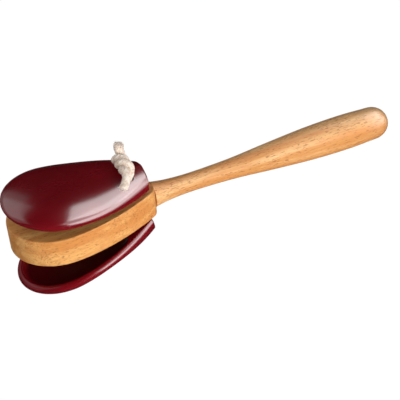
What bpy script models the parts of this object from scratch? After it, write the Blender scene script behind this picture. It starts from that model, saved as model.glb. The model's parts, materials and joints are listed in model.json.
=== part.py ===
"""Handle castanet: two hollowed wooden shells laced by one cotton cord to a paddle on a turned handle.

Metres, +Z up. +X runs along the handle towards its end, and the shells lie above and below the paddle.
The origin is the middle of the hand's grip, on the handle's axis.
"""

import math

import bmesh
import bpy
from mathutils import Vector

MM = 0.001

# Driving dimensions
OVERALL_LENGTH = 218.5 * MM
HEAD_LENGTH = 77 * MM
HEAD_WIDTH = 49.4 * MM
PADDLE_THICKNESS = 14.8 * MM
GRIP_TO_SHOULDER = 91.8 * MM
TOP_SHELL_OPEN = 5.5
BOTTOM_SHELL_OPEN = 12.5
TOP_SHELL_ROLL = 3.5
BOTTOM_SHELL_ROLL = 1.2
TOP_SHELL_LIFT = 3.5 * MM
BOTTOM_SHELL_LIFT = 2.7 * MM
CORD_RADIUS = 2.05 * MM
GAP = 0.3 * MM
CUTTER_OVERSHOOT = 3 * MM

# Egg outlines, seen from above: a quarter ellipse at the front, then a taper to the heel
# Length, width, share of the length to the widest place, share of the width at the heel, power of the taper
PADDLE_EGG = (HEAD_LENGTH, HEAD_WIDTH, 0.321, 0.316, 1.81)
SHELL_EGG = (75.1 * MM, 53.2 * MM, 0.35, 0.37, 2.0)
OUTLINE_STEPS = 12

# Places along the handle's axis
SHOULDER_X = -GRIP_TO_SHOULDER
FRONT_X = SHOULDER_X - HEAD_LENGTH
HANDLE_LENGTH = OVERALL_LENGTH - HEAD_LENGTH

# Paddle and the handle's tenon
PADDLE_CORNER_RADIUS = 3.5 * MM
PADDLE_EDGE_RADIUS = 0.7 * MM
TENON_RADIUS = 3.5 * MM
TENON_LENGTH = 18 * MM

# Turned handle: radius at a distance from the shoulder, up to where the round end begins
HANDLE_TURNING = [
    (0 * MM, 6.9 * MM),
    (3 * MM, 6.35 * MM),
    (10 * MM, 5.45 * MM),
    (23 * MM, 4.95 * MM),
    (46 * MM, 5.6 * MM),
    (70 * MM, 7.5 * MM),
    (94 * MM, 9.1 * MM),
    (115 * MM, 9.55 * MM),
    (132 * MM, 9.0 * MM),
]
HANDLE_SIDES = 32
HANDLE_END_STEPS = 6
HANDLE_END_POWER = 0.9

# Shells, each in its own frame: origin on the lacing line, rim in the plane z = 0, dome towards +z
EGG_BEHIND_LACE = 11.4 * MM
HEEL_BEHIND_LACE = 10.3 * MM
BELLY_HEIGHT = 2.3 * MM
RIM_TUCK = 2.2 * MM
LIP_STEPS = 3
CROWN_HEIGHT = 10.0 * MM
HEEL_HEIGHT = 11.9 * MM
CROWN_BEFORE_LACE = 24.5 * MM
DOME_POWER = 1.9
HEEL_POWER = 2.6
DOME_STEPS = 7
SHELL_EDGE_RADIUS = 0.8 * MM
BOWL_RIM = 2.8 * MM
BOWL_DEPTH = 6.4 * MM
BOWL_POWER = 2.2
BOWL_END_BEFORE_LACE = 4.0 * MM
BOWL_ROUND_BEFORE_LACE = 11 * MM
BOWL_END_ROUNDING = 0.6
BOWL_STEPS = 5

# Lacing: two cord holes through the heels and the paddle, and the knot over the top shell
LACE_FROM_SHOULDER = 14.6 * MM
LACE_HALF_SPACING = 7.4 * MM
LACE_HOLE_RADIUS = 2.7 * MM
LACE_GROOVE_RADIUS = 3.2 * MM
TOP_GROOVE_DEPTH = 2.5 * MM
BOTTOM_GROOVE_DEPTH = 4.4 * MM
HOLE_SIDES = 20
KNOT_TWIST_RADIUS = 2.1 * MM
KNOT_PITCH = 10.0 * MM
KNOT_SQUEEZE = 0.85
KNOT_SINK = 1.5 * MM
LEAD_LEAN = Vector((0.9 * MM, 0.4 * MM, 1.5 * MM))
CORD_STEP = 1.1 * MM
CORE_RELIEF = 1.2 * MM


def mix(a, b, share):
    return a + (b - a) * share


def half_width(along, egg):
    """Half the width of an egg outline at a distance behind its front tip."""
    length, width, widest_share, heel_share, taper_power = egg
    widest = widest_share * length
    if along <= widest:
        return width / 2 * math.sqrt(max(0.0, 1 - (1 - along / widest) ** 2))
    taper = (along - widest) / (length - widest)
    return max(0.0, width / 2 * (1 - (1 - heel_share) * taper**taper_power))


def smooth_points(points, step):
    """Points about one step apart on a smooth curve through the given points."""
    ends = [2 * points[0] - points[1], *points, 2 * points[-1] - points[-2]]
    found = []
    for before, start, finish, after in zip(ends, ends[1:], ends[2:], ends[3:]):
        count = max(1, round((finish - start).length / step))
        for i in range(count):
            t = i / count
            found.append(
                0.5
                * (
                    2 * start
                    + (finish - before) * t
                    + (2 * before - 5 * start + 4 * finish - after) * t**2
                    + (3 * start - before - 3 * finish + after) * t**3
                )
            )
    return found + [points[-1]]


def make_material(name, colour, roughness):
    material = bpy.data.materials.new(name)
    material.use_nodes = True
    shader = material.node_tree.nodes["Principled BSDF"]
    shader.inputs["Base Color"].default_value = (*colour, 1)
    shader.inputs["Roughness"].default_value = roughness
    shader.inputs["Metallic"].default_value = 0.0
    return material


def add_object(name, data, material, parent=None):
    piece = bpy.data.objects.new(name, data)
    bpy.context.scene.collection.objects.link(piece)
    data.materials.append(material)
    piece.parent = parent
    return piece


def add_empty(name, location, rotation):
    empty = bpy.data.objects.new(name, None)
    bpy.context.scene.collection.objects.link(empty)
    empty.location = location
    empty.rotation_euler = rotation
    return empty


def finish_mesh(name, bm, sharp_angle=40):
    """The bmesh as a mesh that faces out and is shaded smooth, apart from its real edges."""
    bmesh.ops.recalc_face_normals(bm, faces=bm.faces)
    mesh = bpy.data.meshes.new(name)
    bm.to_mesh(mesh)
    bm.free()
    mesh.shade_smooth()
    mesh.set_sharp_from_angle(angle=math.radians(sharp_angle))
    return mesh


def add_bevel(piece, width, segments, angle):
    bevel = piece.modifiers.new("rounded edges", "BEVEL")
    bevel.width = width
    bevel.segments = segments
    bevel.limit_method = "ANGLE"
    bevel.angle_limit = math.radians(angle)


def cut(piece, cutter):
    """Cuts the cutter's shape out of the piece. The cutter stays as a hidden helper."""
    cutter.hide_render = True
    cutter.display_type = "WIRE"
    boolean = piece.modifiers.new("cut " + cutter.name, "BOOLEAN")
    boolean.operation = "DIFFERENCE"
    boolean.object = cutter


def loft(rings):
    """A closed bmesh through rings of points: each ring is bridged to the next, and both ends are filled."""
    bm = bmesh.new()
    loops = []
    for ring in rings:
        corners = [bm.verts.new(point) for point in ring]
        loops.append([bm.edges.new((corners[i - 1], corners[i])) for i in range(len(corners))])
    for lower, upper in zip(loops, loops[1:]):
        bmesh.ops.bridge_loops(bm, edges=lower + upper)
    for end in (loops[0], loops[-1]):
        bmesh.ops.edgeloop_fill(bm, edges=end)
    return bm


def rod_cutter(name, radius, start, end, parent=None):
    """A hidden cylinder from start to end, for drilling a hole."""
    start, end = Vector(start), Vector(end)
    bm = bmesh.new()
    turn = (end - start).to_track_quat("Z", "Y").to_matrix().to_4x4()
    turn.translation = (start + end) / 2
    bmesh.ops.create_cone(
        bm,
        cap_ends=True,
        segments=HOLE_SIDES,
        radius1=radius,
        radius2=radius,
        depth=(end - start).length,
        matrix=turn,
    )
    return add_object(name, finish_mesh(name, bm), HELPER, parent)


def add_cord(name, route, radii, parent=None):
    """A length of cord along a route, with a radius for each of the route's points."""
    curve = bpy.data.curves.new(name, "CURVE")
    curve.dimensions = "3D"
    curve.bevel_depth = CORD_RADIUS
    curve.bevel_resolution = 2
    curve.use_fill_caps = True
    spline = curve.splines.new("POLY")
    spline.points.add(len(route) - 1)
    for point, place, radius in zip(spline.points, route, radii):
        point.co = (*place, 1)
        point.radius = radius / CORD_RADIUS
    return add_object(name, curve, COTTON, parent)


def egg_outline(egg, rear_along):
    """(distance behind the front tip, sideways) round an egg, from its heel round the tip and back."""
    length, _, widest_share, _, _ = egg
    widest = widest_share * length
    side = [mix(rear_along, widest, i / OUTLINE_STEPS) for i in range(OUTLINE_STEPS)]
    tip = [widest * (1 - math.cos(math.pi / 2 * (1 - i / OUTLINE_STEPS))) for i in range(OUTLINE_STEPS)]
    right = [(along, -half_width(along, egg)) for along in side + tip]
    left = [(along, -sideways) for along, sideways in reversed(right)]
    return right + [(0.0, 0.0)] + left


def add_paddle():
    """The flat board between the shells, with the cord's two holes and a socket for the handle."""
    bm = bmesh.new()
    outline = egg_outline(PADDLE_EGG, HEAD_LENGTH)
    corners = [bm.verts.new((FRONT_X + x, y, -PADDLE_THICKNESS / 2)) for x, y in outline]
    board = bm.faces.new(corners)
    raised = bmesh.ops.extrude_face_region(bm, geom=[board])["geom"]
    moved = [part for part in raised if isinstance(part, bmesh.types.BMVert)]
    bmesh.ops.translate(bm, verts=moved, vec=(0, 0, PADDLE_THICKNESS))
    heel_edges = [
        edge
        for edge in bm.edges
        if all(vert.co.x > SHOULDER_X - GAP for vert in edge.verts)
        and abs(edge.verts[0].co.z - edge.verts[1].co.z) > GAP
    ]
    bmesh.ops.bevel(
        bm,
        geom=heel_edges,
        offset=PADDLE_CORNER_RADIUS,
        affect="EDGES",
        segments=4,
        profile=0.5,
        material=-1,
    )
    paddle = add_object("paddle", finish_mesh("paddle", bm), NATURAL_WOOD)
    add_bevel(paddle, PADDLE_EDGE_RADIUS, 2, 50)
    socket_end = SHOULDER_X - TENON_LENGTH - 2 * GAP
    socket_mouth = SHOULDER_X + CUTTER_OVERSHOOT
    socket = rod_cutter("tenon_socket", TENON_RADIUS + GAP, (socket_end, 0, 0), (socket_mouth, 0, 0))
    cut(paddle, socket)
    for side, y in (("near", -LACE_HALF_SPACING), ("far", LACE_HALF_SPACING)):
        hole = rod_cutter(
            "paddle_hole_" + side,
            LACE_HOLE_RADIUS,
            (LACE_X, y, -PADDLE_THICKNESS),
            (LACE_X, y, PADDLE_THICKNESS),
        )
        cut(paddle, hole)
        core = [Vector((LACE_X, y, z)) for z in (BOTTOM_Z + CORE_RELIEF, 0, TOP_Z - CORE_RELIEF)]
        add_cord("cord_core_" + side, core, [CORD_RADIUS] * len(core))


def add_handle():
    """The turned handle: a round tenon, a flared foot, a slim neck, a swelling grip and a round end."""
    turning = smooth_points([Vector((x, radius, 0)) for x, radius in HANDLE_TURNING], 6 * MM)
    round_start, end_radius = HANDLE_TURNING[-1]
    round_length = HANDLE_LENGTH - round_start
    profile = [(-TENON_LENGTH, 0), (-TENON_LENGTH, TENON_RADIUS - GAP), (-TENON_LENGTH + GAP, TENON_RADIUS)]
    profile += [(GAP, TENON_RADIUS), (GAP, turning[0].y)]
    profile += [(point.x, point.y) for point in turning[1:]]
    for i in range(1, HANDLE_END_STEPS):
        angle = math.pi / 2 * i / HANDLE_END_STEPS
        radius = end_radius * math.cos(angle) ** HANDLE_END_POWER
        profile.append((round_start + round_length * math.sin(angle), radius))
    profile.append((HANDLE_LENGTH, 0))
    bm = bmesh.new()
    line = [bm.verts.new((SHOULDER_X + x, 0, radius)) for x, radius in profile]
    edges = [bm.edges.new(pair) for pair in zip(line, line[1:])]
    bmesh.ops.spin(
        bm,
        geom=line + edges,
        cent=(0, 0, 0),
        axis=(1, 0, 0),
        angle=2 * math.pi,
        steps=HANDLE_SIDES,
        use_merge=True,
    )
    bmesh.ops.remove_doubles(bm, verts=bm.verts, dist=0.01 * MM)
    add_object("handle", finish_mesh("handle", bm, 50), NATURAL_WOOD)


def towards_heel(x):
    """0 from the front tip to the crown, growing to 1 at the end of the egg behind the lacing."""
    return max(0.0, min(1.0, (x + CROWN_BEFORE_LACE) / (CROWN_BEFORE_LACE + EGG_BEHIND_LACE)))


def shell_reach():
    """Distance behind the front tip where the shell's egg would close, beyond its cut heel."""
    length, _, widest_share, heel_share, taper_power = SHELL_EGG
    widest = widest_share * length
    return widest + (length - widest) * (1 / (1 - heel_share)) ** (1 / taper_power)


def shell_ring(share, height_of, inset=0.0):
    """One ring of the shell's egg, drawn towards the crown by share, in the shell's own frame."""
    ring = []
    for along, sideways in egg_outline(SHELL_EGG, shell_reach() - GAP)[:-1]:
        away = Vector((along - SHELL_BEFORE_LACE + CROWN_BEFORE_LACE, sideways))
        away *= share * (1 - inset / away.length)
        x = away.x - CROWN_BEFORE_LACE
        ring.append((x, away.y, height_of(x)))
    return ring


def dome_height(x, share):
    """Height over the rim, on a ring drawn in by share: the ridge rises and squares up towards the heel."""
    ridge = mix(CROWN_HEIGHT, HEEL_HEIGHT, towards_heel(x))
    power = mix(DOME_POWER, HEEL_POWER, towards_heel(x))
    return BELLY_HEIGHT + (ridge - BELLY_HEIGHT) * (1 - share**power) ** (1 / power)


def shell_mesh():
    """The domed half egg with a rounded lip at its rim, cut off flat at the heel."""
    rings = []
    for i in range(LIP_STEPS):
        angle = math.pi / 2 * i / LIP_STEPS
        height = BELLY_HEIGHT * (1 - math.cos(angle))
        rings.append(shell_ring(1, lambda x, height=height: height, RIM_TUCK * (1 - math.sin(angle))))
    for i in range(DOME_STEPS):
        share = math.cos(math.pi / 2 * i / DOME_STEPS) ** (2 / DOME_POWER)
        rings.append(shell_ring(share, lambda x, share=share: dome_height(x, share)))
    bm = loft(rings)
    cut_through = bmesh.ops.bisect_plane(
        bm,
        geom=bm.verts[:] + bm.edges[:] + bm.faces[:],
        plane_co=(HEEL_BEHIND_LACE, 0, 0),
        plane_no=(1, 0, 0),
        clear_outer=True,
    )["geom_cut"]
    edges = [part for part in cut_through if isinstance(part, bmesh.types.BMEdge)]
    bmesh.ops.holes_fill(bm, edges=edges)
    return finish_mesh("shell", bm)


def bowl_mesh():
    """The hollow under the dome, as a solid to cut out: it follows the rim and ends round before the heel."""
    length, width, *shape = SHELL_EGG
    bowl_egg = (length - BOWL_RIM, width - 2 * BOWL_RIM, *shape)
    bowl_length = SHELL_BEFORE_LACE - BOWL_RIM
    round_length = BOWL_ROUND_BEFORE_LACE - BOWL_END_BEFORE_LACE
    edge = []
    for along, sideways in egg_outline(bowl_egg, bowl_length - BOWL_END_BEFORE_LACE)[:-1]:
        x = along - bowl_length
        past = max(0.0, x + BOWL_ROUND_BEFORE_LACE) / round_length
        edge.append(Vector((x, sideways * math.sqrt(1 - BOWL_END_ROUNDING * past**2), 0)))
    rings = [[(p.x, p.y, -CUTTER_OVERSHOOT) for p in edge], edge]
    for i in range(1, BOWL_STEPS):
        angle = math.pi / 2 * i / BOWL_STEPS
        share = math.cos(angle) ** (2 / BOWL_POWER)
        depth = BOWL_DEPTH * math.sin(angle) ** (2 / BOWL_POWER)
        rings.append([(mix(-CROWN_BEFORE_LACE, p.x, share), p.y * share, depth) for p in edge])
    return finish_mesh("bowl", loft(rings))


def add_shell(name, hinge, domed, hollow, groove_depth):
    """One shell on its hinge line: dome, bowl, the cord's two holes and the groove between them."""
    shell = add_object(name, domed, RED_LACQUER, hinge)
    add_bevel(shell, SHELL_EDGE_RADIUS, 2, 50)
    cut(shell, add_object(name + "_bowl", hollow, HELPER, hinge))
    for side, y in (("near", -LACE_HALF_SPACING), ("far", LACE_HALF_SPACING)):
        low, high = Vector((0, y, -CUTTER_OVERSHOOT)), Vector((0, y, 2 * CROWN_HEIGHT))
        cut(shell, rod_cutter(f"{name}_hole_{side}", LACE_HOLE_RADIUS, low, high, hinge))
    groove_z = surface_height(0) - groove_depth + LACE_GROOVE_RADIUS
    groove_ends = [Vector((0, y, groove_z)) for y in (-LACE_HALF_SPACING, LACE_HALF_SPACING)]
    cut(shell, rod_cutter(name + "_groove", LACE_GROOVE_RADIUS, *groove_ends, hinge))


def surface_height(y):
    """Height of the dome over the rim on the lacing line, y from the middle."""
    share = CROWN_BEFORE_LACE / (shell_reach() - SHELL_BEFORE_LACE + CROWN_BEFORE_LACE)
    while share < 1:
        ring_x = CROWN_BEFORE_LACE / share - CROWN_BEFORE_LACE
        if share * half_width(SHELL_BEFORE_LACE + ring_x, SHELL_EGG) >= abs(y):
            break
        share += 0.002
    return dome_height(0, share)


def knot_end(hole_y, tail):
    """One end of the cord: up its hole, once round the other end, and out as a free tail."""
    turn = math.copysign(1, -hole_y)
    middle_z = surface_height(0) - KNOT_SINK + GAP + KNOT_TWIST_RADIUS + KNOT_SQUEEZE * CORD_RADIUS
    lead_top = surface_height(LACE_HALF_SPACING)
    route = [
        Vector((0, hole_y, 0)),
        Vector((0, hole_y, lead_top / 2)),
        Vector((0, hole_y, lead_top - GAP)),
        Vector((turn * LEAD_LEAN.x, hole_y + turn * LEAD_LEAN.y, lead_top + LEAD_LEAN.z)),
    ]
    for degrees in range(-10, 361, 30):
        y = KNOT_PITCH * (degrees - 180) / 360
        angle = math.radians(degrees)
        x = KNOT_TWIST_RADIUS * math.cos(angle)
        z = middle_z + KNOT_TWIST_RADIUS * math.sin(angle)
        route.append(Vector((turn * x, turn * y, z)))
    squeezed = len(route)
    route += [Vector((x, y, middle_z + z)) for x, y, z in tail]
    points = smooth_points(route, CORD_STEP)
    radii = []
    for place in points:
        nearest = min(range(len(route)), key=lambda i: (route[i] - place).length)
        in_knot = 2 <= nearest < squeezed
        radii.append(CORD_RADIUS * (KNOT_SQUEEZE if in_knot else 1.0))
    return points, radii


def bridge_route():
    """The cord under the bottom shell: up one hole, across its groove and down the other hole."""
    bend = CORD_RADIUS + GAP
    inner_edge = LACE_HALF_SPACING - bend
    top = surface_height(0) - BOTTOM_GROOVE_DEPTH + GAP
    half = [Vector((0, -LACE_HALF_SPACING, share * top)) for share in (0, 0.35, 0.7)]
    for degrees in (0, 30, 60, 90):
        angle = math.radians(degrees)
        half.append(Vector((0, -inner_edge - bend * math.cos(angle), top + bend * math.sin(angle))))
    return half + [Vector((p.x, -p.y, p.z)) for p in reversed(half)]


for leftover in list(bpy.data.objects):
    bpy.data.objects.remove(leftover)

NATURAL_WOOD = make_material("natural wood", (0.62, 0.36, 0.13), 0.4)
RED_LACQUER = make_material("dark red lacquer", (0.12, 0.004, 0.008), 0.25)
COTTON = make_material("cotton cord", (0.78, 0.68, 0.55), 0.9)
HELPER = make_material("helper", (0.5, 0.5, 0.5), 0.5)

LACE_X = SHOULDER_X - LACE_FROM_SHOULDER
SHELL_BEFORE_LACE = SHELL_EGG[0] - EGG_BEHIND_LACE
TOP_Z = PADDLE_THICKNESS / 2 + TOP_SHELL_LIFT
BOTTOM_Z = -PADDLE_THICKNESS / 2 - BOTTOM_SHELL_LIFT

# The far end of the cord leaves the knot down the near flank, and the near end stands up on the far side.
TAIL_DOWN = [
    (-2.4 * MM, -7.2 * MM, 1.0 * MM),
    (-2.4 * MM, -9.4 * MM, 0.6 * MM),
    (-2.7 * MM, -11.6 * MM, -0.8 * MM),
    (-4.1 * MM, -13.8 * MM, -2.2 * MM),
    (-6.3 * MM, -16.2 * MM, -3.4 * MM),
]
TAIL_UP = [
    (1.3 * MM, 7.2 * MM, 2.3 * MM),
    (0.7 * MM, 7.9 * MM, 4.4 * MM),
    (0.9 * MM, 7.9 * MM, 6.5 * MM),
]

top_turn = (math.radians(TOP_SHELL_ROLL), math.radians(TOP_SHELL_OPEN), 0)
top_hinge = add_empty("top_hinge", (LACE_X, 0, TOP_Z), top_turn)
bottom_turn = (math.radians(180 - BOTTOM_SHELL_ROLL), math.radians(-BOTTOM_SHELL_OPEN), 0)
bottom_hinge = add_empty("bottom_hinge", (LACE_X, 0, BOTTOM_Z), bottom_turn)

add_paddle()
add_handle()
DOMED, HOLLOW = shell_mesh(), bowl_mesh()
add_shell("top_shell", top_hinge, DOMED, HOLLOW, TOP_GROOVE_DEPTH)
add_shell("bottom_shell", bottom_hinge, DOMED, HOLLOW, BOTTOM_GROOVE_DEPTH)
add_cord("cord_near_end", *knot_end(-LACE_HALF_SPACING, TAIL_UP), top_hinge)
add_cord("cord_far_end", *knot_end(LACE_HALF_SPACING, TAIL_DOWN), top_hinge)
bridge = smooth_points(bridge_route(), CORD_STEP)
add_cord("cord_bridge", bridge, [CORD_RADIUS] * len(bridge), bottom_hinge)
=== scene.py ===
# %% [markdown]
# # A handle castanet
# Two hollowed wooden shells clap against a flat paddle on a turned handle, and one cotton cord laces them
# together. The solid model with its two joints comes from model.glb and model.json. This file loads it as a
# fixed frame and dresses it: finer pieces where a gloss would show facets, a braided cord, and a finish for
# every surface.

# %% Load the frame
import json
import math
import random

import bmesh
import bpy
from mathutils import Matrix, Vector, noise


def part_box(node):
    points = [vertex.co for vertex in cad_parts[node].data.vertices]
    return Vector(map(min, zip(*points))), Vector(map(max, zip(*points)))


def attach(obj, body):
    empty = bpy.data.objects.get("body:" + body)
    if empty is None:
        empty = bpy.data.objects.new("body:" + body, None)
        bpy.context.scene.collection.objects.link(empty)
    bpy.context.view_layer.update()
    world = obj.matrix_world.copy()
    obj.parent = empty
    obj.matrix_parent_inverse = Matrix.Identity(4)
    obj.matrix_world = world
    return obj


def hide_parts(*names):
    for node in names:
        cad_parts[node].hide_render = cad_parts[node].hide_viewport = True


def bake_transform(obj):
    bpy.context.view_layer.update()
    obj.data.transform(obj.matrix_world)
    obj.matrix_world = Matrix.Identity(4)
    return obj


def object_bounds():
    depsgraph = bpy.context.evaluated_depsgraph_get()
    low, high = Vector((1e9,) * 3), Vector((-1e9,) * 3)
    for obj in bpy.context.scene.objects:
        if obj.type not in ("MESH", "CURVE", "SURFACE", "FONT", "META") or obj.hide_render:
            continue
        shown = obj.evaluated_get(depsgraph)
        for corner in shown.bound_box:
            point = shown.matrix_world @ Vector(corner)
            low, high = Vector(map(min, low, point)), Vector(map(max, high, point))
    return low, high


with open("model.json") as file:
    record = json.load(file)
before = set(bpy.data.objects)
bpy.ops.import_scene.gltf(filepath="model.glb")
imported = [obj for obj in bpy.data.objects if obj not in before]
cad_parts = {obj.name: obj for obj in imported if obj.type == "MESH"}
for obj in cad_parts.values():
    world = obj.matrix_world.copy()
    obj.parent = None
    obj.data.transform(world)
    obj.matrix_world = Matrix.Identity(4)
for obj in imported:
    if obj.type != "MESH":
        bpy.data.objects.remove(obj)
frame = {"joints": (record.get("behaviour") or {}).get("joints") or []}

MM = 0.001
CAD_BOX = [list(corner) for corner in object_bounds()]
print("CAD box in mm:", [[round(value / MM, 1) for value in corner] for corner in CAD_BOX])

# %% [markdown]
# ## Places taken from the frame
# A piece fits its neighbours when both are measured from the same frame. The paddle's box gives the head's
# length, width and thickness, and the two joints give the lines that the shells rock about. Only sizes that
# no box can tell, such as the angle at which a shell stands open, are written here as numbers.

# %% Measure the frame
paddle_low, paddle_high = (Vector(corner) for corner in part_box("paddle"))
HANDLE_END_X = Vector(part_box("handle")[1]).x
JOINT_PLACES = {joint["name"]: Vector(joint["pos_m"]) for joint in frame["joints"]}
TOP_LACING, BOTTOM_LACING = JOINT_PLACES["top_rock"], JOINT_PLACES["bottom_rock"]
SHOULDER_X, FRONT_X = paddle_high.x, paddle_low.x
HEAD_LENGTH = SHOULDER_X - FRONT_X
HEAD_WIDTH = paddle_high.y - paddle_low.y
PADDLE_TOP, PADDLE_BOTTOM = paddle_high.z, paddle_low.z
TOP_SHELL_OPEN, TOP_SHELL_ROLL = 5.5, 3.5
BOTTOM_SHELL_OPEN, BOTTOM_SHELL_ROLL = 12.5, 1.2


def shell_place(lacing, opened, rolled):
    """The shell's own frame, with its origin on the lacing line: tilted open and rolled, in degrees."""
    tilt = Matrix.Rotation(math.radians(opened), 4, "Y") @ Matrix.Rotation(math.radians(rolled), 4, "X")
    return Matrix.Translation(lacing) @ tilt


TOP_PLACE = shell_place(TOP_LACING, TOP_SHELL_OPEN, TOP_SHELL_ROLL)
BOTTOM_PLACE = shell_place(BOTTOM_LACING, -BOTTOM_SHELL_OPEN, 180 - BOTTOM_SHELL_ROLL)
print(f"head {HEAD_LENGTH / MM:.1f} x {HEAD_WIDTH / MM:.1f} mm")
print(f"lacing {(SHOULDER_X - TOP_LACING.x) / MM:.1f} mm in front of the shoulder")

# %% [markdown]
# ## Camera
# The castanet is seen from its near side and about 34 degrees above, with the head close and the handle
# running away to the right. A long lens keeps the head and the handle's end about the same scale. The camera
# is placed by the direction that it looks from, so that its angle can be read from the numbers.

# %% Set up the camera
VIEW_TARGET = Vector((-65.2, 0, -13.1)) * MM
VIEW_DISTANCE = 638.5 * MM
VIEW_AZIMUTH, VIEW_ELEVATION, VIEW_ROLL = (math.radians(angle) for angle in (-21.59, 34.22, -5.78))
SENSOR_WIDTH_MM, LENS_LENGTH_MM = 36, 108


def direction_from(azimuth, elevation):
    """The way out from the object: the azimuth runs from the near side to the right, in radians."""
    level = math.cos(elevation)
    return Vector((math.sin(azimuth) * level, -math.cos(azimuth) * level, math.sin(elevation)))


camera_data = bpy.data.cameras.new("studio camera")
camera_data.sensor_width = SENSOR_WIDTH_MM
camera_data.lens = LENS_LENGTH_MM
towards_camera = direction_from(VIEW_AZIMUTH, VIEW_ELEVATION)
turn = towards_camera.to_track_quat("Z", "Y").to_matrix() @ Matrix.Rotation(VIEW_ROLL, 3, "Z")
camera = bpy.data.objects.new("studio camera", camera_data)
camera.matrix_world = Matrix.Translation(VIEW_TARGET + towards_camera * VIEW_DISTANCE) @ turn.to_4x4()
bpy.context.scene.collection.objects.link(camera)
bpy.context.scene.camera = camera
print("camera at", [round(value, 3) for value in camera.location])

# %% [markdown]
# ## Outline of the head
# Seen from above, paddle and shells are eggs: a quarter ellipse round the front, then a taper to the heel.
# Tracing each by hand would need many points, so one formula serves both, with its own five numbers for each.

# %% Egg outlines
# Length, width, share of the length to the widest place, share of the width at the heel, power of the taper
PADDLE_EGG = (HEAD_LENGTH, HEAD_WIDTH, 0.321, 0.316, 1.81)
SHELL_EGG = (75.1 * MM, 53.2 * MM, 0.35, 0.37, 2.0)
OUTLINE_STEPS = 44


def mix(start, end, share):
    return start + (end - start) * share


def half_width(along, egg):
    """Half the width of an egg at a distance behind its front tip."""
    length, width, widest_share, heel_share, taper_power = egg
    widest = widest_share * length
    if along <= widest:
        return width / 2 * math.sqrt(max(0.0, 1 - (1 - along / widest) ** 2))
    taper = (along - widest) / (length - widest)
    return max(0.0, width / 2 * (1 - (1 - heel_share) * taper**taper_power))


def egg_outline(egg, rear_along):
    """(distance behind the front tip, sideways) round an egg, from its heel round the tip and back."""
    widest = egg[2] * egg[0]
    side = [mix(rear_along, widest, i / OUTLINE_STEPS) for i in range(OUTLINE_STEPS)]
    tip = [widest * (1 - math.cos(math.pi / 2 * (1 - i / OUTLINE_STEPS))) for i in range(OUTLINE_STEPS)]
    right = [(along, -half_width(along, egg)) for along in side + tip]
    left = [(along, -sideways) for along, sideways in reversed(right)]
    return right + [(0.0, 0.0)] + left


print("points round an egg:", len(egg_outline(PADDLE_EGG, HEAD_LENGTH)))

# %% [markdown]
# ## Dome of a shell
# A shell is round on its back, and its ridge rises and squares up towards the heel. The dome grows from the
# egg by drawing it in towards the crown, and a formula gives the height of each ring. The cord lies on the
# same dome, so the formula comes before both.

# %% Heights of the dome
EGG_BEHIND_LACE = 11.4 * MM
SHELL_BEFORE_LACE = SHELL_EGG[0] - EGG_BEHIND_LACE
CROWN_BEFORE_LACE = 24.5 * MM
BELLY_HEIGHT = 2.3 * MM
CROWN_HEIGHT = 10.0 * MM
HEEL_HEIGHT = 11.9 * MM
DOME_POWER = 1.9
HEEL_POWER = 2.6
RING_SEARCH_STEP = 0.002


def smooth_step(share):
    """From 0 to 1 with a level start and a level end."""
    return share * share * (3 - 2 * share)


def towards_heel(x):
    """0 from the front tip to the crown, growing smoothly to 1 at the end of the egg behind the lacing."""
    share = (x + CROWN_BEFORE_LACE) / (CROWN_BEFORE_LACE + EGG_BEHIND_LACE)
    return smooth_step(max(0.0, min(1.0, share)))


def shell_reach():
    """Distance behind the front tip where the shell's egg would close, beyond its cut heel."""
    length, _, widest_share, heel_share, taper_power = SHELL_EGG
    widest = widest_share * length
    return widest + (length - widest) * (1 / (1 - heel_share)) ** (1 / taper_power)


def dome_height(x, share):
    """Height over the rim, on a ring drawn in by share: the ridge rises and squares up towards the heel."""
    ridge = mix(CROWN_HEIGHT, HEEL_HEIGHT, towards_heel(x))
    power = mix(DOME_POWER, HEEL_POWER, towards_heel(x))
    return BELLY_HEIGHT + (ridge - BELLY_HEIGHT) * (1 - share**power) ** (1 / power)


def surface_height(y):
    """Height of the dome over the rim on the lacing line, y from the middle."""
    share = CROWN_BEFORE_LACE / (shell_reach() - SHELL_BEFORE_LACE + CROWN_BEFORE_LACE)
    while share < 1:
        ring_x = CROWN_BEFORE_LACE / share - CROWN_BEFORE_LACE
        if share * half_width(SHELL_BEFORE_LACE + ring_x, SHELL_EGG) >= abs(y):
            break
        share += RING_SEARCH_STEP
    return dome_height(0, share)


print(f"dome over the lacing line: {surface_height(0) / MM:.1f} mm above the rim")

# %% [markdown]
# ## Route of the cord
# One cotton cord holds everything together. It runs under the bottom shell, up through two holes in the
# shells and the paddle, and is tied over the top shell with a half knot: each end goes once round the other.
# The knot's turn is a helix, so a loop works it out, and the two free tails are a few listed points.

# %% Lay the cord's centre lines
CORD_RADIUS = 2.05 * MM
CORD_GAP = 0.3 * MM
LACE_HALF_SPACING = 7.4 * MM
LACE_SIDES = (-LACE_HALF_SPACING, LACE_HALF_SPACING)
TOP_GROOVE_DEPTH = 2.5 * MM
BOTTOM_GROOVE_DEPTH = 4.4 * MM
KNOT_TWIST_RADIUS = 2.1 * MM
KNOT_PITCH = 10.0 * MM
KNOT_SQUEEZE = 0.85
KNOT_SINK = 1.5 * MM
KNOT_TURN_DEGREES = range(-10, 361, 30)
BRIDGE_BEND_DEGREES = (0, 30, 60, 90)
LEAD_LEAN = Vector((0.9, 0.4, 1.5)) * MM
CORD_STEP = 0.22 * MM
# Points of the two tails in millimetres, from the middle of the knot
TAIL_DOWN = [
    (-2.4, -7.2, 1.2),
    (-2.4, -9.4, 0.8),
    (-2.7, -11.6, -0.5),
    (-4.1, -13.8, -2.0),
    (-6.2, -16.0, -3.3),
]
TAIL_UP = [(1.3, 7.2, 2.3), (0.7, 7.9, 4.4), (0.9, 7.9, 6.5)]


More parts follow.
